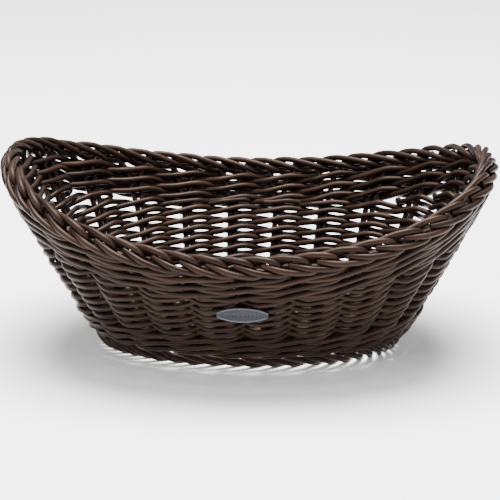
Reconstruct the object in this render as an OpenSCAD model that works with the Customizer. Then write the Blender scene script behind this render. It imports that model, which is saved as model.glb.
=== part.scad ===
// Oval bread basket with raised ends, woven from round plastic cord.
// Forty-eight stakes run in pairs from the foot up to the plaited rim border.
// Closed rounds of cord are woven about them: three-cord wale at the foot and
// under the rim, two-cord twining between, and short rounds that lift the ends.
// Origin: on the ground under the middle of the base. +X is the long direction.

/* [Outline] */
// Length of the rim, along the middle of its border
rim_len = 270; // [220:5:330]
// Width of the rim, along the middle of its border
rim_wid = 188; // [156:4:228]
// Length of the base, where the wall starts
base_len = 164; // [136:4:200]
// Width of the base, where the wall starts
base_wid = 77; // [69:2:97]
// How much fuller than an ellipse the rim is between its ends and sides
rim_full = 0.04; // [0:0.01:0.06]
// How far the wall bulges out, as a share of its flare
wall_bulge = 0.22; // [0:0.02:0.4]

/* [Cord] */
// Diameter of the cord
cord_d = 3; // [2.6:0.1:3.4]
// Gap left between cords that lie side by side
cord_gap = 0.25; // [0.25:0.05:0.4]

/* [Weave] */
// Rounds of three-cord wale above the foot
bottom_wales = 3; // [1:1:4]
// Rounds of two-cord twining up the wall
twined_rows = 6; // [4:1:9]
// Rounds of three-cord wale under the rim
top_wales = 3; // [1:1:4]
// Short twined rounds packed into each raised end
packed_rows = 4; // [2:1:5]
// Cords that run lengthwise through the middle of the base, an odd number
base_rows = 11; // [7:2:13]
// Spare height of a wale round, over two cords
wale_slack = 0.3; // [0.3:0.1:1]

/* [Tag] */
// Length of the metal tag
tag_len = 28.5; // [26:0.5:32]
// Height of the metal tag
tag_wid = 14; // [9:0.5:15]
// Thickness of the metal tag
tag_thick = 1.2; // [0.8:0.1:2]
// Thickness of the keeper plate inside the wall
keeper_thick = 0.8; // [0.6:0.1:1.2]
// Diameter of the two prongs
prong_d = 1.1; // [0.8:0.1:1.2]
// Twined rounds below the prongs
tag_row = 4; // [1:1:4]

/* [Hidden] */
// Pairs of stakes around the basket
stake_pairs = 24;
// A cord and its gap: the unit in which the cords are laid
lay = cord_d + cord_gap;
cord_sides = 4;
twine_pitch = 2 * lay;
wale_pitch = 2 * lay + wale_slack;
// Offset of a woven cord from the middle of the wall, where it passes a stake
weave_out = 1.06 * lay;
wale_out = 1.35 * lay;
// The foot border and half of the rim border, measured along the wall
foot_run = 3.3 * lay;
border_run = 1.65 * lay;
// Middle of the base cloth over the ground, at its edge and further in
base_z = lay + cord_d / 2;
base_dome = 2;
dome_run = 9;
// Even spacing of the stakes: degrees by which the rim and base angles lead
rim_lead = 5.2;
base_lead = -2.3;
// The wall is this much longer than its straight chord, as it bulges
take_up = 1.04;
// A woven cord passes a pair of stakes over this share of the pair spacing
// each side, and crosses the wall in the rest
flank = 0.24;

pair_angle = 360 / stake_pairs;
wale_zone = bottom_wales * wale_pitch;
twine_zone = twined_rows * twine_pitch;
twine_start = foot_run + wale_zone;
pack_start = twine_start + twine_zone;
mid_run = pack_start + top_wales * wale_pitch + border_run;
end_run = packed_rows * twine_pitch + lay / 2;

quarter = stake_pairs / 4;
wall_sides = ["right", "back", "left", "front"];

// ---- Vectors ----

function unit(v) = v / norm(v);
function mix(a, b, f) = a + (b - a) * f;

// ---- The middle surface of the wall and base ----
// t is the angle around the basket and s the distance up the wall from the
// base edge. Below zero, s runs inwards across the base.

function rim_angle(t) = t + rim_lead * sin(2 * t);
function base_angle(t) = t + base_lead * sin(2 * t);

function rim_xy(t) =
    let (a = rim_angle(t), full = 1 + rim_full * pow(sin(2 * a), 2))
    [rim_len / 2 * cos(a) * full, rim_wid / 2 * sin(a) * full];

function base_xy(t) =
    let (a = base_angle(t))
    [base_len / 2 * cos(a), base_wid / 2 * sin(a)];

// Across the base towards its middle line
function base_inward(t) =
    let (p = base_xy(t))
    unit([-0.4 * p.x, -p.y]);

// Length of the wall at t: it is as long as the rounds woven into it
function wall_run(t) = mid_run + end_run * pow(cos(rim_angle(t)), 2);

// Share of the wall's height at distance s, allowing for its bulge
function wall_share(t, s) =
    let (flare = norm(rim_xy(t) - base_xy(t)))
    let (run = wall_run(t))
    let (k = max(wall_bulge, 0.001) * pow(flare / run, 2))
    ((1 + k) - sqrt(pow(1 + k, 2) - 4 * k * s / run)) / (2 * k);

function wall_pt(t, s) =
    let (v = wall_share(t, s))
    let (b = base_xy(t), r = rim_xy(t))
    let (w = v + wall_bulge * v * (1 - v))
    let (rise = sqrt(pow(wall_run(t) / take_up, 2) - pow(norm(r - b), 2)))
    [mix(b.x, r.x, w), mix(b.y, r.y, w), base_z + rise * v];

function floor_pt(t, s) =
    let (p = base_xy(t) - s * base_inward(t))
    [p.x, p.y, base_z + base_dome * min(1, -s / dome_run)];

function shell_pt(t, s) = s >= 0 ? wall_pt(t, s) : floor_pt(t, s);

function shell_normal(t, s) =
    let (around = shell_pt(t + 1, s) - shell_pt(t - 1, s))
    let (up = shell_pt(t, s + lay) - shell_pt(t, s - lay))
    unit(cross(around, up));

// A point at pair position g, distance s and offset out from the surface.
// Along the rim, which slopes, distances are taken square to its edge
function pair_t(g) = pair_angle * (g + 0.5);
function rim_pt(t) = shell_pt(t, wall_run(t));
function rim_up(t, normal) = unit(cross(normal, rim_pt(t + 1) - rim_pt(t - 1)));
function lay_pt(g, s, out) =
    let (t = pair_t(g))
    let (normal = shell_normal(t, s), over = s - wall_run(t))
    (over > -1.3 * lay ? rim_pt(t) + over * rim_up(t, normal) : shell_pt(t, s)) + out * normal;

// Distance from one pair of stakes to the next at g and s
function pair_pitch(g, s) = norm(shell_pt(pair_t(g + 0.5), s) - shell_pt(pair_t(g - 0.5), s));

// ---- Cord swept along points, with the surface normal as its reference ----

function ring(p, along, normal) =
    let (u = unit(normal - (normal * along) * along))
    let (w = cross(along, u))
    [for (j = [0:cord_sides - 1])
        let (a = 360 * j / cord_sides)
        p + cord_d / 2 * (cos(a) * u + sin(a) * w)];

function tube_faces(rings, closed) = [
    for (i = [0:rings - (closed ? 1 : 2)], j = [0:cord_sides - 1])
        let (a = i * cord_sides, b = ((i + 1) % rings) * cord_sides)
        let (j2 = (j + 1) % cord_sides)
        each [[a + j, b + j, b + j2], [a + j, b + j2, a + j2]]
];

// route is a list of [pair position, distance, offset]
module cord(route, closed = false) {
    n = len(route);
    p = [for (r = route) lay_pt(r[0], r[1], r[2])];
    normals = [for (r = route) shell_normal(pair_t(r[0]), r[1])];
    points = [
        for (i = [0:n - 1])
            let (before = closed ? (i + n - 1) % n : max(i - 1, 0))
            let (after = closed ? (i + 1) % n : min(i + 1, n - 1))
            each ring(p[i], unit(p[after] - p[before]), normals[i])
    ];
    first_cap = [[for (j = [0:cord_sides - 1]) j]];
    last_cap = [[for (j = [cord_sides - 1:-1:0]) (n - 1) * cord_sides + j]];
    polyhedron(points, concat(tube_faces(n, closed), closed ? [] : first_cap, closed ? [] : last_cap));
}

// ---- Woven rounds ----

// Two cords turn about each other: each rises outside one pair of stakes and
// falls inside the next
function twine_step(g, s, out, lift = lay / 2) = [
    [g - flank, s - out * lift, out * weave_out],
    [g + flank, s + out * lift, out * weave_out]
];

module twined_round(s, lift = lay / 2) {
    for (turn = [0, 1])
        cord([for (g = [0:stake_pairs - 1])
            each twine_step(g, s, (g + turn) % 2 == 0 ? 1 : -1, lift)], closed = true);
}

// Three cords, each outside two pairs of stakes and inside the third:
// [lift in lays, offset] before and after each of the three pairs
wale_steps = [
    [[-0.55, weave_out], [-0.55, wale_out]],
    [[0.55, wale_out], [0.55, weave_out]],
    [[0.55, -weave_out], [-0.55, -weave_out]]
];

// A bottom round lies s above the base edge. A top round has s below zero:
// it lies that far under the rim
module wale_round(s) {
    for (turn = [0:2])
        cord([for (g = [0:stake_pairs - 1], after = [0, 1])
            let (step = wale_steps[(g + turn) % 3][after])
            let (at = g + (2 * after - 1) * flank)
            let (mid = s < 0 ? wall_run(pair_t(at)) + s : s)
            [at, mid + lay * step[0], step[1]]], closed = true);
}

// How many pairs each side of an end a packed row reaches: the wall must be
// long enough at its turn for the row to pass under the wale
turn_share = 0.4;
function packed_reach(row) = max(1, len([
    for (k = [0:quarter])
        if (wall_run(pair_t(k + turn_share)) - mid_run > (row - 0.2) * twine_pitch) k
]));

// A half turn from outside the wall to inside it, or back: side is 1 or -1 for
// where it starts, and way is 1 or -1 for the direction it runs along the wall
function half_turn(g, s, side, way) = [
    for (a = [45, 90, 135])
        [g + way * mix(flank, turn_share, sin(a)), s - side * cos(a) * lay / 2, side * cos(a) * weave_out]
];

// A packed row is one cord that goes out and back and turns about its last pairs
module packed_round(middle, row) {
    s = pack_start + (row - 0.5) * twine_pitch;
    reach = packed_reach(row);
    first = middle - reach + 0.5;
    last = middle + reach - 0.5;
    out_way = [for (k = [0:2 * reach - 1])
        each twine_step(first + k, s, k % 2 == 0 ? 1 : -1)];
    back_way = [for (k = [2 * reach - 1:-1:0])
        let (step = twine_step(first + k, s, k % 2 == 0 ? -1 : 1))
        each [step[1], step[0]]];
    cord(concat(
        out_way, half_turn(last, s, -1, 1),
        back_way, half_turn(first, s, -1, -1)
    ), closed = true);
}

// ---- Stakes ----
// Foot and rim are laid out in half pairs along the edge, and in lays across.

// Foot, from the tip under the base up to the wall: [along, s, offset]
foot_route = [
    [3.1, -1.75, 1], [2.2, -0.3, 1.02], [1.4, 0.8, 1.02], [0.7, 1.75, 0.95], [0.15, 2.7, 0.25]
];

// Rim border: up at its own place, over the top, down the inside past two more,
// out under the next, up the outside past two, and in: [along, up, offset]
rim_route = [
    [0, -1, 0], [0.1, 0.4, -0.05], [0.4, 1.1, -0.3], [0.9, 0.95, -0.95], [1.45, 0.25, -1.3],
    [2, -0.55, -1.25], [2.35, -1, -0.5], [2.65, -1.15, 0.5], [3, -0.95, 1.25], [3.5, -0.45, 1.4],
    [4, 0, 1.2], [4.35, 0.2, 0.65], [4.7, 0.2, -0.05]
];

// Half the spacing of a pair's two stakes: side by side in the wall, and
// spread under the rim
wall_spread = lay / 2;
rim_spread = 1.2 * lay;

function stake_route(pair, side) =
    let (even = pair + side / 4)
    let (s_low = foot_run + lay / 2, s_mid = pack_start, s_half = (s_low + s_mid) / 2)
    let (s_rim = wall_run(pair_t(pair)), s_top = s_rim - border_run - wale_pitch / 2)
    let (low = pair + side * wall_spread / pair_pitch(pair, s_low))
    let (half = pair + side * wall_spread / pair_pitch(pair, s_half))
    let (mid = pair + side * wall_spread / pair_pitch(pair, s_mid))
    let (top = pair + side * rim_spread / pair_pitch(pair, s_top))
    concat(
        [for (p = foot_route) [even + p[0] / 2, p[1] * lay, p[2] * lay]],
        [[low, s_low, 0], [half, s_half, 0], [mid, s_mid, 0], [top, s_top, 0]],
        [for (p = rim_route)
            let (g = even - p[0] / 2)
            [g, wall_run(pair_t(g)) + p[1] * lay, p[2] * lay]]
    );

module stakes(first_pair) {
    color("#3c2d26")
        for (i = [0:quarter - 1], side = [-1, 1])
            cord(stake_route(first_pair + i, side));
}

// ---- Base ----

// Straight sticks in pairs, from the front edge to the back edge
stick_inset = 3;
cross_t = [for (k = [quarter / 2:3 * quarter / 2 - 1]) pair_t(k)];

module stick(from, to) {
    along = to - from;
    translate(from)
        rotate([0, acos(along.z / norm(along)), atan2(along.y, along.x)])
            cylinder(h = norm(along), d = cord_d, $fn = 32);
}

module base_cross_sticks() {
    color("#3c2d26")
        for (t = cross_t, side = [-1, 1]) {
            edge = base_xy(t) + stick_inset * base_inward(t);
            x = edge.x + side * lay / 2;
            stick([x, -edge.y, base_z + base_dome], [x, edge.y, base_z + base_dome]);
        }
}

// Short sticks that fan out to the pairs at the two ends
end_stick_run = 2.4 * twine_pitch;
module base_end_sticks() {
    color("#3c2d26")
        for (k = [-quarter / 2:quarter / 2 - 1], flip = [0, 1]) {
            t = pair_t(k) + 180 * flip;
            outer = base_xy(t) + stick_inset * base_inward(t);
            inner = base_xy(t) + (stick_inset + end_stick_run) * base_inward(t);
            z = base_z + base_dome;
            stick([outer.x, outer.y, z], [inner.x, inner.y, z]);
        }
}

// Lengthwise cords pass over and under the cross sticks, inside the base round
row_spacing = 1.2 * lay;
row_inset = stick_inset + 1.4 * twine_pitch + 1.5 * lay;
row_tail = 1.6 * cord_d;

// [place along the base, over 1 or under -1] where the row at y meets a stick
function row_sticks(y) =
    let (share = y / (base_wid / 2 - row_inset))
    let (reach = (base_len / 2 - row_inset) * sqrt(max(0, 1 - share * share)))
    [for (k = [0:len(cross_t) - 1])
        let (x = base_xy(cross_t[k]).x)
        if (abs(x) < reach) [x, k % 2 == 0 ? 1 : -1]];

module base_row(index) {
    y = index * row_spacing;
    z = base_z + base_dome;
    out = index % 2 == 0 ? weave_out : -weave_out;
    met = row_sticks(y);
    last_met = met[len(met) - 1];
    path = concat(
        [[met[0][0] + row_tail, y, z + out * met[0][1]]],
        [for (i = [0:len(met) - 1]) each concat(
            [[met[i][0], y, z + out * met[i][1]]],
            i < len(met) - 1 ? [[(met[i][0] + met[i + 1][0]) / 2, y, z]] : [])],
        [[last_met[0] - row_tail, y, z + out * last_met[1]]]
    );
    last = len(path) - 1;
    points = [for (i = [0:last])
        each ring(path[i], unit(path[min(i + 1, last)] - path[max(i - 1, 0)]), [0, 0, 1])];
    caps = [[for (j = [0:cord_sides - 1]) j], [for (j = [cord_sides - 1:-1:0]) last * cord_sides + j]];
    polyhedron(points, concat(tube_faces(last + 1, false), caps));
}

module base_rows_all() {
    color("#3c2d26")
        for (i = [-(base_rows - 1) / 2:(base_rows - 1) / 2])
            base_row(i);
}

// ---- Tag: an oval plate outside, a keeper inside, and two prongs ----

tag_pair = 3 * stake_pairs / 4 - 0.5;
tag_shift = 0.02;
tag_rise = 2.6;
prong_shift = 0.3;
tag_s = twine_start + tag_row * twine_pitch;
tag_stand = weave_out + cord_d / 2 + cord_gap;

// Stand on the wall at pair position g: +Z points out, +Y runs along the wall
module on_wall(g) {
    n = shell_normal(pair_t(tag_pair), tag_s);
    translate(lay_pt(g, tag_s, 0))
        rotate([0, acos(n.z), atan2(n.y, n.x)])
            children();
}

// Four-centre oval: two wide arcs that run into two end arcs
module oval(len, wid, thick) {
    end_r = wid * 0.3;
    end_y = len / 2 - end_r;
    side_r = (pow(end_y, 2) + pow(wid / 2, 2) - pow(end_r, 2)) / (wid - 2 * end_r);
    side_x = side_r - wid / 2;
    join_y = end_y * side_r / (side_r - end_r);
    linear_extrude(thick) {
        intersection() {
            translate([side_x, 0])
                circle(r = side_r, $fn = 128);
            translate([-side_x, 0])
                circle(r = side_r, $fn = 128);
            square([wid, 2 * join_y], center = true);
        }
        for (side = [-1, 1])
            translate([0, side * end_y])
                circle(r = end_r, $fn = 48);
    }
}

module tag_plate() {
    color("#8d9096")
        on_wall(tag_pair + tag_shift)
            translate([-tag_rise, 0, tag_stand])
                oval(tag_len, tag_wid, tag_thick);
}

module tag_keeper() {
    color("#8d9096")
        on_wall(tag_pair)
            translate([0, 0, -tag_stand - keeper_thick])
                oval(tag_len * 0.7, tag_wid * 0.6, keeper_thick);
}

module tag_prongs() {
    color("#8d9096")
        for (side = [-1, 1])
            on_wall(tag_pair)
                translate([0, side * prong_shift * pair_pitch(tag_pair, tag_s), -tag_stand])
                    cylinder(h = 2 * tag_stand, d = prong_d, $fn = 24);
}

// ---- The basket ----

for (q = [0:3])
    stakes((q - 0.5) * quarter);
for (i = [1:bottom_wales])
    color("#413028") wale_round(foot_run + (i - 0.5) * wale_pitch);
for (i = [1:twined_rows])
    color("#46342b") twined_round(twine_start + (i - 0.5) * twine_pitch);
for (i = [1:packed_rows]) {
    color("#46342b") packed_round(stake_pairs / 2 - 0.5, i);
    color("#46342b") packed_round(-0.5, i);
}
for (i = [1:top_wales])
    color("#413028") wale_round(-border_run - (top_wales - i + 0.5) * wale_pitch);
color("#46342b") twined_round(-stick_inset - 1.4 * twine_pitch, 0.62 * lay);  // base_round
base_cross_sticks();
base_end_sticks();
base_rows_all();  // base_rows
tag_plate();
tag_prongs();
tag_keeper();
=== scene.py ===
"""Woven bread basket: streaked plastic cord on the CAD model's routes, a metal tag and a plain studio."""

import math

import bpy
import numpy as np
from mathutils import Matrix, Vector


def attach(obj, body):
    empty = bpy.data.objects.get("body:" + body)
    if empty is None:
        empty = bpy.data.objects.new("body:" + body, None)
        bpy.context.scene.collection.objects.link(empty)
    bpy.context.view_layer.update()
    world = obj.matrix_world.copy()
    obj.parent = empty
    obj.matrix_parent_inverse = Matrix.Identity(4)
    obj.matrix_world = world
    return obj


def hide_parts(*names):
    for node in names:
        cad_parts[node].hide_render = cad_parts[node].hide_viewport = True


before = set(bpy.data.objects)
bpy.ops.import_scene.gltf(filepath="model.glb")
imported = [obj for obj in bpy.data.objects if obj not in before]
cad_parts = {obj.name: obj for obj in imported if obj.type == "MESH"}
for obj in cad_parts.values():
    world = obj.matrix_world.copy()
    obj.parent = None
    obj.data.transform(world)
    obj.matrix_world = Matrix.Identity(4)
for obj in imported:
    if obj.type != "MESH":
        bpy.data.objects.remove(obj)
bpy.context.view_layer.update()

# ---- Sizes, in metres, as in the CAD model ----

RIM_LEN, RIM_WID, RIM_FULL = 0.270, 0.188, 0.04
BASE_LEN, BASE_WID = 0.164, 0.077
WALL_BULGE, TAKE_UP = 0.22, 1.04
CORD = 0.003
LAY = CORD + 0.00025
PAIRS = 24
BOTTOM_WALES, TWINED_ROWS, TOP_WALES, PACKED_ROWS, BASE_ROWS = 3, 6, 3, 4, 11
WALE_SLACK = 0.0003
RIM_LEAD, BASE_LEAD = 5.2, -2.3
FLANK = 0.24  # in pair pitches, how far each side of a pair a cord keeps to its side of it
TURN_SHARE = 0.4  # and how far past its last pair a packed row turns back

TWINE_PITCH = 2 * LAY
WALE_PITCH = 2 * LAY + WALE_SLACK
WEAVE_OUT = 1.06 * LAY
WALE_OUT = 1.35 * LAY
FOOT_RUN = 3.3 * LAY
BORDER_RUN = 1.65 * LAY
BASE_Z = LAY + CORD / 2
BASE_DOME, DOME_RUN = 0.002, 0.009
STICK_INSET = 0.003
BASE_ROUND_IN, BASE_ROUND_LIFT = 1.4 * TWINE_PITCH, 0.62 * LAY
RIM_ZONE, RIM_BLEND = 1.9 * LAY, 0.6 * LAY  # where distances turn square to the rim's edge
TWINE_START = FOOT_RUN + BOTTOM_WALES * WALE_PITCH
PACK_START = TWINE_START + TWINED_ROWS * TWINE_PITCH
MID_RUN = PACK_START + TOP_WALES * WALE_PITCH + BORDER_RUN
END_RUN = PACKED_ROWS * TWINE_PITCH + LAY / 2
QUARTER = PAIRS // 4
SIDES = ("right", "back", "left", "front")

# ---- How the cord is drawn ----

DRAWN = 0.0034  # diameter, so that cords laid side by side press together
STEP = 0.0011  # between rings of a drawn cord
ROUNDING = 0.0015  # over which a stake's bends are eased
WEAVE_ROUNDING = 0.0026  # and those of the cords woven about the stakes
AROUND = 12  # sides of a drawn cord
CUT_EDGE, CUT_RADIUS = 0.0002, 0.43 * DRAWN  # the slightly broken edge of a cut end
GRAIN_SCALE = 1000  # the grain is laid out in millimetres
HAND = 0.00022  # how far hand work strays from the true place

rng = np.random.default_rng(24)


# ---- The middle surface of the wall and base ----
# t is the angle around the basket and s the distance up the wall from the
# base edge. Below zero, s runs inwards across the base.


def wave(degrees):
    return np.sin(np.radians(degrees))


def unit(v):
    return v / np.linalg.norm(v, axis=-1, keepdims=True)


def rim_xy(t):
    a = np.radians(t + RIM_LEAD * wave(2 * t))
    full = 1 + RIM_FULL * np.sin(2 * a) ** 2
    return np.stack([RIM_LEN / 2 * np.cos(a) * full, RIM_WID / 2 * np.sin(a) * full], -1)


def base_xy(t):
    a = np.radians(t + BASE_LEAD * wave(2 * t))
    return np.stack([BASE_LEN / 2 * np.cos(a), BASE_WID / 2 * np.sin(a)], -1)


def base_inward(t):
    return unit(-base_xy(t) * np.array([0.4, 1.0]))


def wall_run(t):
    return MID_RUN + END_RUN * np.cos(np.radians(t + RIM_LEAD * wave(2 * t))) ** 2


def shell(t, s):
    t, s = np.broadcast_arrays(np.asarray(t, float), np.asarray(s, float))
    base, rim, run = base_xy(t), rim_xy(t), wall_run(t)
    flare = np.linalg.norm(rim - base, axis=-1)
    k = WALL_BULGE * (flare / run) ** 2
    v = ((1 + k) - np.sqrt((1 + k) ** 2 - 4 * k * np.maximum(s, 0) / run)) / (2 * k)
    across = (v + WALL_BULGE * v * (1 - v))[..., None]
    rise = np.sqrt((run / TAKE_UP) ** 2 - flare**2)
    wall = np.concatenate([base + (rim - base) * across, (BASE_Z + rise * v)[..., None]], -1)
    inside = np.minimum(s, 0)
    dome = BASE_Z + BASE_DOME * np.minimum(1, -inside / DOME_RUN)
    floor = np.concatenate([base - inside[..., None] * base_inward(t), dome[..., None]], -1)
    return np.where((s >= 0)[..., None], wall, floor)


def shell_normal(t, s):
    around = shell(t + 1, s) - shell(t - 1, s)
    up = shell(t, s + LAY) - shell(t, s - LAY)
    return unit(np.cross(around, up))


def pair_t(g):
    return 360 / PAIRS * (np.asarray(g, float) + 0.5)


def rim(t):
    return shell(t, wall_run(t))


def place(route):
    """Points of a route of [pair position, distance, offset].

    Along the sloping rim, distances are square to its edge.
    """
    g, s, out = np.asarray(route, float).T
    t = pair_t(g)
    normal = shell_normal(t, s)
    over = s - wall_run(t)
    rim_up = unit(np.cross(normal, rim(t + 1) - rim(t - 1)))
    at_rim = np.clip((over + RIM_ZONE) / RIM_BLEND, 0, 1)[:, None]
    point = shell(t, s) * (1 - at_rim) + (rim(t) + over[:, None] * rim_up) * at_rim
    return point + out[:, None] * normal


def pair_pitch(g, s):
    ends = shell(pair_t(np.array([g - 0.5, g + 0.5])), s)
    return float(np.linalg.norm(ends[1] - ends[0]))


# ---- Drawing a cord ----


def along(points, closed):
    """Distance of each point along a line. A closed line has one more, back at its start."""
    loop = np.vstack([points, points[:1]]) if closed else points
    return np.concatenate([[0], np.cumsum(np.linalg.norm(np.diff(loop, axis=0), axis=1))])


def resample(points, values, closed, step):
    """values, given at points, at even steps along the points."""
    d = along(points, closed)
    full = np.vstack([values, values[:1]]) if closed else values
    count = max(8, int(round(d[-1] / step)))
    at = np.linspace(0, d[-1], count, endpoint=not closed)
    return np.stack([np.interp(at, d, full[:, c]) for c in range(full.shape[1])], -1)


def ease(values, closed, sigma, step):
    """Rounds the bends of evenly spaced values, as a stiff cord does."""
    half = int(3 * sigma / step)
    kernel = np.exp(-0.5 * (np.arange(-half, half + 1) * step / sigma) ** 2)
    kernel /= kernel.sum()
    if closed:
        padded = np.vstack([values[-half:], values, values[:half]])
    else:
        before = 2 * values[0] - values[half:0:-1]
        after = 2 * values[-1] - values[-2 : -half - 2 : -1]
        padded = np.vstack([before, values, after])
    return np.stack([np.convolve(padded[:, c], kernel, "valid") for c in range(values.shape[1])], -1)


def stray(count, closed, size, period=0.022):
    """Slow wander along a cord, eased between seeded random offsets."""
    knots = max(4, int(count * STEP / period))
    x = np.linspace(0, knots, count, endpoint=not closed)
    amplitude = rng.normal(0, size, (knots + 1, 3))
    if closed:
        amplitude[-1] = amplitude[0]
    k = np.minimum(x.astype(int), knots - 1)
    f = (x - k)[:, None]
    f = f * f * (3 - 2 * f)
    return amplitude[k] * (1 - f) + amplitude[k + 1] * f


def centre_line(route, closed, rounding=ROUNDING):
    """The smooth middle line of a cord that follows a route."""
    route = np.asarray(route, float)
    if closed:
        turns = round((route[-1, 0] - route[0, 0]) / PAIRS)
        last = route[:1] + [[PAIRS * turns, 0, 0]]
        path = np.vstack([route, last])
    else:
        path = route
    fine = resample(place(path), path, False, STEP / 2)
    if closed:
        fine = fine[:-1]
    line = ease(place(fine), closed, rounding, STEP / 2)
    line = resample(line, line, closed, STEP)
    return line + stray(len(line), closed, HAND)


def turning_frames(line, closed):
    """Two directions across the cord at each point, which turn with it without twisting."""
    tangent = unit(np.roll(line, -1, 0) - np.roll(line, 1, 0))
    if not closed:
        tangent[0] = unit(line[1] - line[0])
        tangent[-1] = unit(line[-1] - line[-2])
    u = np.empty_like(line)
    side = np.array([0.0, 0.0, 1.0]) if abs(tangent[0][2]) < 0.8 else np.array([1.0, 0.0, 0.0])
    u[0] = unit(side - tangent[0] * (side @ tangent[0]))
    for i in range(1, len(line)):
        v = u[i - 1] - tangent[i] * (u[i - 1] @ tangent[i])
        u[i] = v / math.sqrt(v @ v)
    w = np.cross(tangent, u)
    if closed:
        v = u[-1] - tangent[0] * (u[-1] @ tangent[0])
        gap = math.atan2(v @ w[0], v @ u[0])
        angle = -gap * np.arange(len(line))[:, None] / len(line)
        u, w = u * np.cos(angle) + w * np.sin(angle), w * np.cos(angle) - u * np.sin(angle)
    return u, w, tangent


class Weave:
    """Cords gathered into one mesh, with attributes that the cord's material reads."""

    def __init__(self):
        self.points, self.faces, self.grain, self.tone = [], [], [], []
        self.count = 0

    def add(self, line, closed):
        u, w, tangent = turning_frames(line, closed)
        d = along(line, closed)[: len(line)]
        radius = np.full(len(line), DRAWN / 2)
        if not closed:
            line = np.vstack([line[:1], line, line[-1:]])
            u, w = np.vstack([u[:1], u, u[-1:]]), np.vstack([w[:1], w, w[-1:]])
            line[1] = line[0] + tangent[0] * CUT_EDGE
            line[-2] = line[-1] - tangent[-1] * CUT_EDGE
            d = np.concatenate([d[:1], d, d[-1:]])
            radius = np.concatenate([[CUT_RADIUS], radius, [CUT_RADIUS]])
        n = len(line)
        a = 2 * np.pi * np.arange(AROUND) / AROUND
        cross = u[:, None] * np.cos(a)[None, :, None] + w[:, None] * np.sin(a)[None, :, None]
        ring = line[:, None] + cross * radius[:, None, None]
        ring[..., 2] = np.maximum(ring[..., 2], 0)  # pressed flat where it stands
        self.points.append(ring.reshape(-1, 3))
        shift = rng.uniform(0, 50)
        grain = np.empty((n, AROUND, 3))
        grain[..., 0] = np.cos(a) * DRAWN / 2 * GRAIN_SCALE
        grain[..., 1] = np.sin(a) * DRAWN / 2 * GRAIN_SCALE
        grain[..., 2] = d[:, None] * GRAIN_SCALE + shift
        self.grain.append(grain.reshape(-1, 3))
        self.tone.append(np.full(n * AROUND, rng.uniform(0, 1)))
        i = np.arange(n if closed else n - 1)[:, None] * AROUND
        j = np.arange(AROUND)[None, :]
        after = (i + AROUND) % (n * AROUND)
        j2 = (j + 1) % AROUND
        quads = np.stack([i + j, i + j2, after + j2, after + j], -1).reshape(-1, 4) + self.count
        self.faces += quads.tolist()
        if not closed:
            self.faces.append([self.count + k for k in range(AROUND - 1, -1, -1)])
            self.faces.append([self.count + (n - 1) * AROUND + k for k in range(AROUND)])
        self.count += n * AROUND

    def finish(self, name, nodes, material):
        mesh = bpy.data.meshes.new(name)
        mesh.from_pydata(np.vstack(self.points).tolist(), [], self.faces)
        grain = mesh.attributes.new("grain", "FLOAT_VECTOR", "POINT")
        grain.data.foreach_set("vector", np.vstack(self.grain).ravel())
        tone = mesh.attributes.new("tone", "FLOAT", "POINT")
        tone.data.foreach_set("value", np.concatenate(self.tone))
        mesh.shade_smooth()
        mesh.materials.append(material)
        piece = bpy.data.objects.new(name, mesh)
        bpy.context.scene.collection.objects.link(piece)
        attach(piece, "root")
        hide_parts(*nodes)
        return piece


# ---- Materials ----


def new_material(name):
    material = bpy.data.materials.new(name)
    material.use_nodes = True
    nodes, links = material.node_tree.nodes, material.node_tree.links
    return material, nodes, links, nodes["Principled BSDF"]


def set_inputs(node, values):
    for socket, value in values.items():
        node.inputs[socket].default_value = value


def math_node(nodes, links, operation, a, b):
    node = nodes.new("ShaderNodeMath")
    node.operation = operation
    for socket, value in zip(node.inputs, (a, b)):
        if isinstance(value, (int, float)):
            socket.default_value = value
        else:
            links.new(value, socket)
    return node.outputs[0]


def noise_node(nodes, links, vector, scale, detail):
    """Noise over a scaled vector. A small scale along an axis draws the noise out into streaks."""
    scaled = nodes.new("ShaderNodeMapping")
    scaled.inputs["Scale"].default_value = scale
    links.new(vector, scaled.inputs["Vector"])
    noise = nodes.new("ShaderNodeTexNoise")
    set_inputs(noise, {"Scale": 1.0, "Detail": detail})
    links.new(scaled.outputs["Vector"], noise.inputs["Vector"])
    return noise


def range_node(nodes, links, value, limits):
    """Maps a value from a range onto roughness."""
    node = nodes.new("ShaderNodeMapRange")
    set_inputs(node, dict(zip(("From Min", "From Max", "To Min", "To Max"), limits)))
    links.new(value, node.inputs["Value"])
    return node.outputs["Result"]


# Across and along the cord per millimetre, and detail.
FINE_STREAKS, BROAD_STREAKS, PATCHES = (3.2, 0.05, 3.0), (1.1, 0.03, 2.0), (0.35, 0.09, 1.0)
STREAK_ROUGHNESS = 0.6
FINE_SHARE, BROAD_SHARE, PATCH_SHARE, TONE_SHARE = 0.5, 0.3, 0.2, 0.16
# Where each brown comes in the mix, darkest first.
BROWNS = (
    (0.34, (0.0044, 0.0023, 0.0017, 1)),
    (0.5, (0.0108, 0.0056, 0.0040, 1)),
    (0.68, (0.0275, 0.0138, 0.0093, 1)),
)
CORD_ROUGHNESS = (0.3, 0.7, 0.5, 0.34)
GROOVE_STRENGTH, GROOVE_DEPTH = 0.35, 0.00012
CORD_SHEEN = {"IOR": 1.45, "Specular IOR Level": 0.2, "Specular Tint": (1, 0.72, 0.58, 1)}
METAL_BRUSH = (300, 5000, 5000)
METAL_DARK, METAL_LIGHT = (0.045, 0.048, 0.055, 1), (0.10, 0.105, 0.115, 1)
METAL_ROUGHNESS = (0, 1, 0.34, 0.5)


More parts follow.
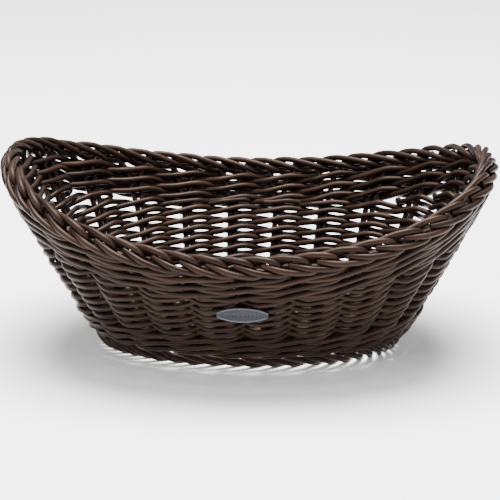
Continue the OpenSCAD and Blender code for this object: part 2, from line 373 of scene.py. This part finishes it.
def cord_material():
    """Extruded plastic cord: dark brown, finely streaked and grooved along its length, satin."""
    material, nodes, links, shader = new_material("cord")
    grain = nodes.new("ShaderNodeAttribute")
    grain.attribute_name = "grain"
    tone = nodes.new("ShaderNodeAttribute")
    tone.attribute_name = "tone"

    def streaks(across, lengthwise, detail):
        noise = noise_node(nodes, links, grain.outputs["Vector"], (across, across, lengthwise), detail)
        noise.inputs["Roughness"].default_value = STREAK_ROUGHNESS
        return noise.outputs["Fac"]

    fine, broad, patch = streaks(*FINE_STREAKS), streaks(*BROAD_STREAKS), streaks(*PATCHES)
    mixed = math_node(nodes, links, "MULTIPLY", fine, FINE_SHARE)
    centred = math_node(nodes, links, "SUBTRACT", tone.outputs["Fac"], 0.5)
    for value, share in ((broad, BROAD_SHARE), (patch, PATCH_SHARE), (centred, TONE_SHARE)):
        mixed = math_node(nodes, links, "ADD", mixed, math_node(nodes, links, "MULTIPLY", value, share))
    ramp = nodes.new("ShaderNodeValToRGB")
    stops = ramp.color_ramp.elements
    stops.new(BROWNS[1][0])
    for stop, (position, color) in zip(stops, BROWNS):
        stop.position = position
        stop.color = color
    links.new(mixed, ramp.inputs["Fac"])
    links.new(ramp.outputs["Color"], shader.inputs["Base Color"])
    links.new(range_node(nodes, links, broad, CORD_ROUGHNESS), shader.inputs["Roughness"])
    bump = nodes.new("ShaderNodeBump")
    set_inputs(bump, {"Strength": GROOVE_STRENGTH, "Distance": GROOVE_DEPTH})
    links.new(fine, bump.inputs["Height"])
    links.new(bump.outputs["Normal"], shader.inputs["Normal"])
    set_inputs(shader, CORD_SHEEN)
    return material


def metal_material():
    """Grey zinc alloy with a fine brushed, slightly uneven satin."""
    material, nodes, links, shader = new_material("tag_metal")
    place_in = nodes.new("ShaderNodeTexCoord")
    noise = noise_node(nodes, links, place_in.outputs["Object"], METAL_BRUSH, 2.0)
    ramp = nodes.new("ShaderNodeValToRGB")
    ramp.color_ramp.elements[0].color = METAL_DARK
    ramp.color_ramp.elements[1].color = METAL_LIGHT
    links.new(noise.outputs["Fac"], ramp.inputs["Fac"])
    links.new(ramp.outputs["Color"], shader.inputs["Base Color"])
    shader.inputs["Metallic"].default_value = 1.0
    links.new(range_node(nodes, links, noise.outputs["Fac"], METAL_ROUGHNESS), shader.inputs["Roughness"])
    return material


CORD_MATERIAL = cord_material()
METAL = metal_material()


# ---- Woven rounds ----


def twine_step(g, s, out, lift):
    return [
        [g - FLANK, s - out * lift, out * WEAVE_OUT],
        [g + FLANK, s + out * lift, out * WEAVE_OUT],
    ]


def twined_round(name, s, lift=LAY / 2):
    weave = Weave()
    for turn in (0, 1):
        route = []
        for g in range(PAIRS):
            route += twine_step(g, s, 1 if (g + turn) % 2 == 0 else -1, lift)
        route.append([PAIRS - FLANK, *route[0][1:]])
        weave.add(centre_line(route, True, WEAVE_ROUNDING), True)
    weave.finish(name + "_cords", [name], CORD_MATERIAL)


# Rise in lays and offset of a wale cord before and after each of its three pairs.
WALE_STEPS = (
    ((-0.55, WEAVE_OUT), (-0.55, WALE_OUT)),
    ((0.55, WALE_OUT), (0.55, WEAVE_OUT)),
    ((0.55, -WEAVE_OUT), (-0.55, -WEAVE_OUT)),
)


def wale_round(name, s):
    """A bottom round lies s above the base edge, a top one hangs -s under the rim."""
    weave = Weave()
    for turn in range(3):
        route = []
        for i in range(2 * PAIRS + 1):
            g, after = divmod(i, 2)
            at = g + (2 * after - 1) * FLANK
            lift, out = WALE_STEPS[(g + turn) % 3][after]
            middle = wall_run(pair_t(at)) + s if s < 0 else s
            route.append([at, middle + lift * LAY, out])
        weave.add(centre_line(route, True, WEAVE_ROUNDING), True)
    weave.finish(name + "_cords", [name], CORD_MATERIAL)


ROW_LACK = 0.87  # share of its height that may be missing where a packed row is still laid
ROW_END, ROW_FADE = 0.2, 0.5  # pairs past its reach where a row stops counting, and over which it fades
LEAST_SHARE, MOST_SHARE, MOST_LIFT = 0.5, 1.3, 1.12  # limits on squeezing and spreading the rows
TURN_ANGLES = (45, 90, 135)


def packed_room(g):
    """Height between the last twined round and the top wales, where the ends rise."""
    return wall_run(pair_t(g)) - MID_RUN


def packed_reach(row):
    """How many pairs each side of an end a packed row reaches, under the wale."""
    room = packed_room(np.arange(QUARTER + 1) + TURN_SHARE)
    return max(1, int((room > (row - ROW_LACK) * TWINE_PITCH).sum()))


def packed_point(at, row, side, lift, middle):
    """The rows that meet at a place share the room there, so they fan out and fill the wedge."""
    rows = 0
    for i in range(1, PACKED_ROWS + 1):
        rows += min(1, max(0, (packed_reach(i) + ROW_END - abs(at - middle)) / ROW_FADE))
    share = float(packed_room(at)) / (max(rows, row) * TWINE_PITCH)
    share = min(MOST_SHARE, max(LEAST_SHARE, share))
    s = PACK_START + (row - 0.5) * TWINE_PITCH * share
    return [at, s + lift * min(share, MOST_LIFT) * LAY / 2, side * WEAVE_OUT]


def packed_round(name, middle, row):
    reach = packed_reach(row)
    out_way, back_way = [], []
    for k in range(2 * reach):
        g = middle - reach + 0.5 + k
        side = 1 if k % 2 == 0 else -1
        out_way += [packed_point(g + e * FLANK, row, side, e * side, middle) for e in (-1, 1)]
        back_way = [packed_point(g + e * FLANK, row, -side, -e * side, middle) for e in (1, -1)] + back_way
    ends = []
    for way in (1, -1):
        g = middle + way * (reach - 0.5)
        for a in np.radians(TURN_ANGLES):
            at = g + way * (FLANK + (TURN_SHARE - FLANK) * math.sin(a))
            ends.append(packed_point(at, row, -math.cos(a), math.cos(a), middle))
    turns = len(TURN_ANGLES)
    route = out_way + ends[:turns] + back_way + ends[turns:]
    weave = Weave()
    weave.add(centre_line(route + route[:1], True), True)
    weave.finish(name + "_cord", [name], CORD_MATERIAL)


# ---- Stakes ----

# Each point: half pairs along, lays up, lays out. The foot's heights are from the base edge, the rim's
# from the rim's edge, and the rim's points run the other way round the basket.
FOOT_ROUTE = (
    (3.1, -1.75, 1),
    (2.2, -0.3, 1.02),
    (1.4, 0.8, 1.02),
    (0.7, 1.75, 0.95),
    (0.15, 2.7, 0.25),
)
RIM_ROUTE = (
    (0, -1, 0),
    (0.1, 0.4, -0.05),
    (0.4, 1.1, -0.3),
    (0.9, 0.95, -0.95),
    (1.45, 0.25, -1.3),
    (2, -0.55, -1.25),
    (2.35, -1, -0.5),
    (2.65, -1.15, 0.5),
    (3, -0.95, 1.25),
    (3.5, -0.45, 1.4),
    (4, 0, 1.2),
    (4.35, 0.2, 0.65),
    (4.7, 0.2, -0.05),
)
WALL_SPREAD, RIM_SPREAD = LAY / 2, 1.2 * LAY


def stake_route(pair, side):
    even = pair + side / 4
    low, middle = FOOT_RUN + LAY / 2, PACK_START
    half = (low + middle) / 2
    top = float(wall_run(pair_t(pair))) - BORDER_RUN - WALE_PITCH / 2
    route = [[even + x / 2, s * LAY, out * LAY] for x, s, out in FOOT_ROUTE]
    route += [[pair + side * WALL_SPREAD / pair_pitch(pair, s), s, 0] for s in (low, half, middle)]
    route.append([pair + side * RIM_SPREAD / pair_pitch(pair, top), top, 0])
    for x, up, out in RIM_ROUTE:
        g = even - x / 2
        route.append([g, float(wall_run(pair_t(g))) + up * LAY, out * LAY])
    return route


def stakes(name, first_pair):
    weave = Weave()
    for i in range(QUARTER):
        for side in (-1, 1):
            weave.add(centre_line(stake_route(first_pair + i, side), False), False)
    weave.finish(name + "_cords", [name], CORD_MATERIAL)


# ---- Base ----

CROSS_T = pair_t(np.arange(QUARTER // 2, 3 * QUARTER // 2))
ROW_SPACING = 1.2 * LAY
ROW_INSET = STICK_INSET + BASE_ROUND_IN + 1.5 * LAY
ROW_TAIL = 1.6 * CORD
END_STICK_RUN = 2.4 * TWINE_PITCH


def straight(start, end):
    line = np.array([start, end], float)
    line = resample(line, line, False, STEP)
    return line + stray(len(line), False, HAND / 2)


def base_sticks():
    weave = Weave()
    for t in CROSS_T:
        edge = base_xy(t) + STICK_INSET * base_inward(t)
        for side in (-1, 1):
            x = edge[0] + side * LAY / 2
            weave.add(straight((x, -edge[1], BASE_Z + BASE_DOME), (x, edge[1], BASE_Z + BASE_DOME)), False)
    weave.finish("base_cross_sticks_cords", ["base_cross_sticks"], CORD_MATERIAL)
    weave = Weave()
    for k in range(-QUARTER // 2, QUARTER // 2):
        for flip in (0, 180):
            t = pair_t(k) + flip
            outer = base_xy(t) + STICK_INSET * base_inward(t)
            inner = base_xy(t) + (STICK_INSET + END_STICK_RUN) * base_inward(t)
            z = BASE_Z + BASE_DOME
            weave.add(straight((*outer, z), (*inner, z)), False)
    weave.finish("base_end_sticks_cords", ["base_end_sticks"], CORD_MATERIAL)


def base_rows():
    weave = Weave()
    z = BASE_Z + BASE_DOME
    for index in range(-(BASE_ROWS // 2), BASE_ROWS // 2 + 1):
        y = index * ROW_SPACING
        share = y / (BASE_WID / 2 - ROW_INSET)
        reach = (BASE_LEN / 2 - ROW_INSET) * math.sqrt(max(0, 1 - share**2))
        out = WEAVE_OUT if index % 2 == 0 else -WEAVE_OUT
        met = [(float(base_xy(t)[0]), 1 if k % 2 == 0 else -1) for k, t in enumerate(CROSS_T)]
        met = [(x, over) for x, over in met if abs(x) < reach]
        path = [[met[0][0] + ROW_TAIL, y, z + out * met[0][1]]]
        for i, (x, over) in enumerate(met):
            path.append([x, y, z + out * over])
            if i < len(met) - 1:
                path.append([(x + met[i + 1][0]) / 2, y, z])
        path.append([met[-1][0] - ROW_TAIL, y, z + out * met[-1][1]])
        path = np.array(path)
        line = resample(path, path, False, STEP / 2)
        line = ease(line, False, 2 * ROUNDING, STEP / 2)
        line = resample(line, line, False, STEP)
        weave.add(line + stray(len(line), False, HAND / 2), False)
    weave.finish("base_rows_cords", ["base_rows"], CORD_MATERIAL)


for q, side_name in enumerate(SIDES):
    stakes(f"stakes_{side_name}", round((q - 0.5) * QUARTER))
for i in range(1, BOTTOM_WALES + 1):
    wale_round(f"bottom_wale_{i}", FOOT_RUN + (i - 0.5) * WALE_PITCH)
for i in range(1, TWINED_ROWS + 1):
    twined_round(f"twined_row_{i}", TWINE_START + (i - 0.5) * TWINE_PITCH)
for i in range(1, PACKED_ROWS + 1):
    packed_round(f"packed_left_{i}", PAIRS / 2 - 0.5, i)
    packed_round(f"packed_right_{i}", -0.5, i)
for i in range(1, TOP_WALES + 1):
    wale_round(f"top_wale_{i}", -BORDER_RUN - (TOP_WALES - i + 0.5) * WALE_PITCH)
twined_round("base_round", -STICK_INSET - BASE_ROUND_IN, BASE_ROUND_LIFT)
base_sticks()
base_rows()

# ---- Tag ----

TAG_LEN, TAG_WID = 0.0285, 0.0140
TAG_PAIR, TAG_SHIFT, TAG_RISE = 3 * PAIRS / 4 - 0.5, 0.02, 0.0026
TAG_S = TWINE_START + 4 * TWINE_PITCH
TAG_STAND = WEAVE_OUT + CORD / 2 + (LAY - CORD)
OVAL_POINTS = 144
# Inset from the edge and height of a cast plate: rounded edge, raised rim, sunken field.
TAG_SECTION = (
    (0.0003, 0),
    (0, 0.0003),
    (0, 0.0007),
    (0.00012, 0.00098),
    (0.0004, 0.00112),
    (0.0008, 0.0012),
    (0.00105, 0.00115),
    (0.0012, 0.00088),
    (0.0014, 0.00084),
    (0.0024, 0.00084),
    (0.0036, 0.00088),
)
# A plain relief of tall beads along the middle, smaller towards the ends.
BEADS_EACH_WAY, BEAD_PITCH, BEAD_SIDES = 4, 0.0022, 20
BEAD_SIZE, BEAD_TAPER, BEAD_TALL, BEAD_WIDE = 0.00105, 0.012, 1.9, 0.6
BEAD_RINGS = ((1, 0.0008), (0.85, 0.00104), (0.45, 0.00118))  # share of its size, and height


def oval(inset):
    """Points of the tag's four-centre oval, inset from its edge: across the tag, along the tag."""
    end_r = TAG_WID * 0.3
    end_y = TAG_LEN / 2 - end_r
    side_r = (end_y**2 + (TAG_WID / 2) ** 2 - end_r**2) / (TAG_WID - 2 * end_r)
    side_x = side_r - TAG_WID / 2
    join = math.atan2(side_x, end_y)
    points = []
    for a in np.linspace(0, 2 * np.pi, OVAL_POINTS, endpoint=False):
        turned = math.atan2(abs(math.cos(a)), abs(math.sin(a)))
        if turned > join:
            x = (side_r - inset) * math.sin(turned) - side_x
            y = (side_r - inset) * math.cos(turned)
        else:
            x = (end_r - inset) * math.sin(turned)
            y = end_y + (end_r - inset) * math.cos(turned)
        points.append((math.copysign(x, math.cos(a)), math.copysign(y, math.sin(a))))
    return points


def band(first, count):
    """Faces between a ring of points and the ring that follows it."""
    faces = []
    for j in range(count):
        j2 = (j + 1) % count
        faces.append((first + j, first + j2, first + count + j2, first + count + j))
    return faces


def tag_plate():
    normal = shell_normal(pair_t(TAG_PAIR), TAG_S)
    origin = place([[TAG_PAIR + TAG_SHIFT, TAG_S, 0]])[0]
    sideways = unit(np.cross((0, 0, 1), normal))
    across = np.cross(sideways, normal)
    vertices, faces = [], []
    for inset, z in TAG_SECTION:
        vertices += [(x, y, z) for x, y in oval(inset)]
    inner = (len(TAG_SECTION) - 1) * OVAL_POINTS
    for first in range(0, inner, OVAL_POINTS):
        faces += band(first, OVAL_POINTS)
    faces.append(tuple(range(inner, inner + OVAL_POINTS)))
    faces.append(tuple(range(OVAL_POINTS - 1, -1, -1)))
    for k in range(-BEADS_EACH_WAY, BEADS_EACH_WAY + 1):
        size = BEAD_SIZE * (1 - BEAD_TAPER * k * k)
        first = len(vertices)
        for r, z in BEAD_RINGS:
            for a in 2 * math.pi * np.arange(BEAD_SIDES) / BEAD_SIDES:
                x = BEAD_TALL * size * r * math.cos(a)
                y = k * BEAD_PITCH + BEAD_WIDE * size * r * math.sin(a)
                vertices.append((x, y, z))
        faces += band(first, BEAD_SIDES) + band(first + BEAD_SIDES, BEAD_SIDES)
        faces.append(tuple(range(first + 2 * BEAD_SIDES, first + 3 * BEAD_SIDES)))
    mesh = bpy.data.meshes.new("tag_plate_cast")
    placed = []
    for x, y, z in vertices:
        point = origin + across * (x - TAG_RISE) + sideways * y + normal * (TAG_STAND + z)
        placed.append(tuple(map(float, point)))
    mesh.from_pydata(placed, [], faces)
    mesh.shade_smooth()
    mesh.materials.append(METAL)
    piece = bpy.data.objects.new("tag_plate_cast", mesh)
    bpy.context.scene.collection.objects.link(piece)
    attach(piece, "root")
    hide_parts("tag_plate")


tag_plate()
for node in ("tag_prongs", "tag_keeper"):
    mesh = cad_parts[node].data
    mesh.materials.clear()
    mesh.materials.append(METAL)

# ---- Floor, light and camera ----


FLOOR_HALF, FLOOR_WHITE, FLOOR_ROUGHNESS = 6, 0.97, 0.9
WORLD_STRENGTH = 0.58
LIGHT_AIM = (0, 0, 0.05)
# Name, position and size in metres, watts.
LIGHTS = (
    ("overhead", (0, 0.15, 1.3), 1.1, 95),
    ("front_left", (-0.7, -0.9, 0.9), 0.5, 9),
    ("front_right", (0.9, -0.8, 0.8), 0.5, 6),
)
CAMERA_AIM = Vector((0, 0, 0.06))
CAMERA_DISTANCE, CAMERA_RISE, CAMERA_TURN = 1.3, 18.6, 2.9  # metres and degrees
SENSOR, LENS = 36, 163.728  # millimetres
SHIFT_X, SHIFT_Y = 0.0024, -0.0124  # of the picture's width

corners = ((-1, -1), (1, -1), (1, 1), (-1, 1))
floor_mesh = bpy.data.meshes.new("floor")
floor_mesh.from_pydata([(x * FLOOR_HALF, y * FLOOR_HALF, 0) for x, y in corners], [], [(0, 1, 2, 3)])
floor_material, _, _, floor_shader = new_material("floor")
floor_look = {"Base Color": (FLOOR_WHITE, FLOOR_WHITE, FLOOR_WHITE, 1), "Roughness": FLOOR_ROUGHNESS}
set_inputs(floor_shader, floor_look)
floor_mesh.materials.append(floor_material)
floor = bpy.data.objects.new("floor", floor_mesh)
bpy.context.scene.collection.objects.link(floor)

world = bpy.data.worlds.new("studio")
world.use_nodes = True
set_inputs(world.node_tree.nodes["Background"], {"Color": (1, 1, 1, 1), "Strength": WORLD_STRENGTH})
bpy.context.scene.world = world

for name, position, size, power in LIGHTS:
    data = bpy.data.lights.new(name, "AREA")
    data.shape = "DISK"
    data.size = size
    data.energy = power
    light = bpy.data.objects.new(name, data)
    light.location = position
    light.rotation_euler = (Vector(LIGHT_AIM) - Vector(position)).to_track_quat("-Z", "Y").to_euler()
    bpy.context.scene.collection.objects.link(light)

rise, turn = math.radians(CAMERA_RISE), math.radians(CAMERA_TURN)
away = Vector((math.sin(turn) * math.cos(rise), -math.cos(turn) * math.cos(rise), math.sin(rise)))
camera_data = bpy.data.cameras.new("camera")
camera_data.sensor_width = SENSOR
camera_data.lens = LENS
camera_data.shift_x = SHIFT_X
camera_data.shift_y = SHIFT_Y
camera = bpy.data.objects.new("camera", camera_data)
camera.location = CAMERA_AIM + away * CAMERA_DISTANCE
camera.rotation_euler = (-away).to_track_quat("-Z", "Y").to_euler()
bpy.context.scene.collection.objects.link(camera)
bpy.context.scene.camera = camera
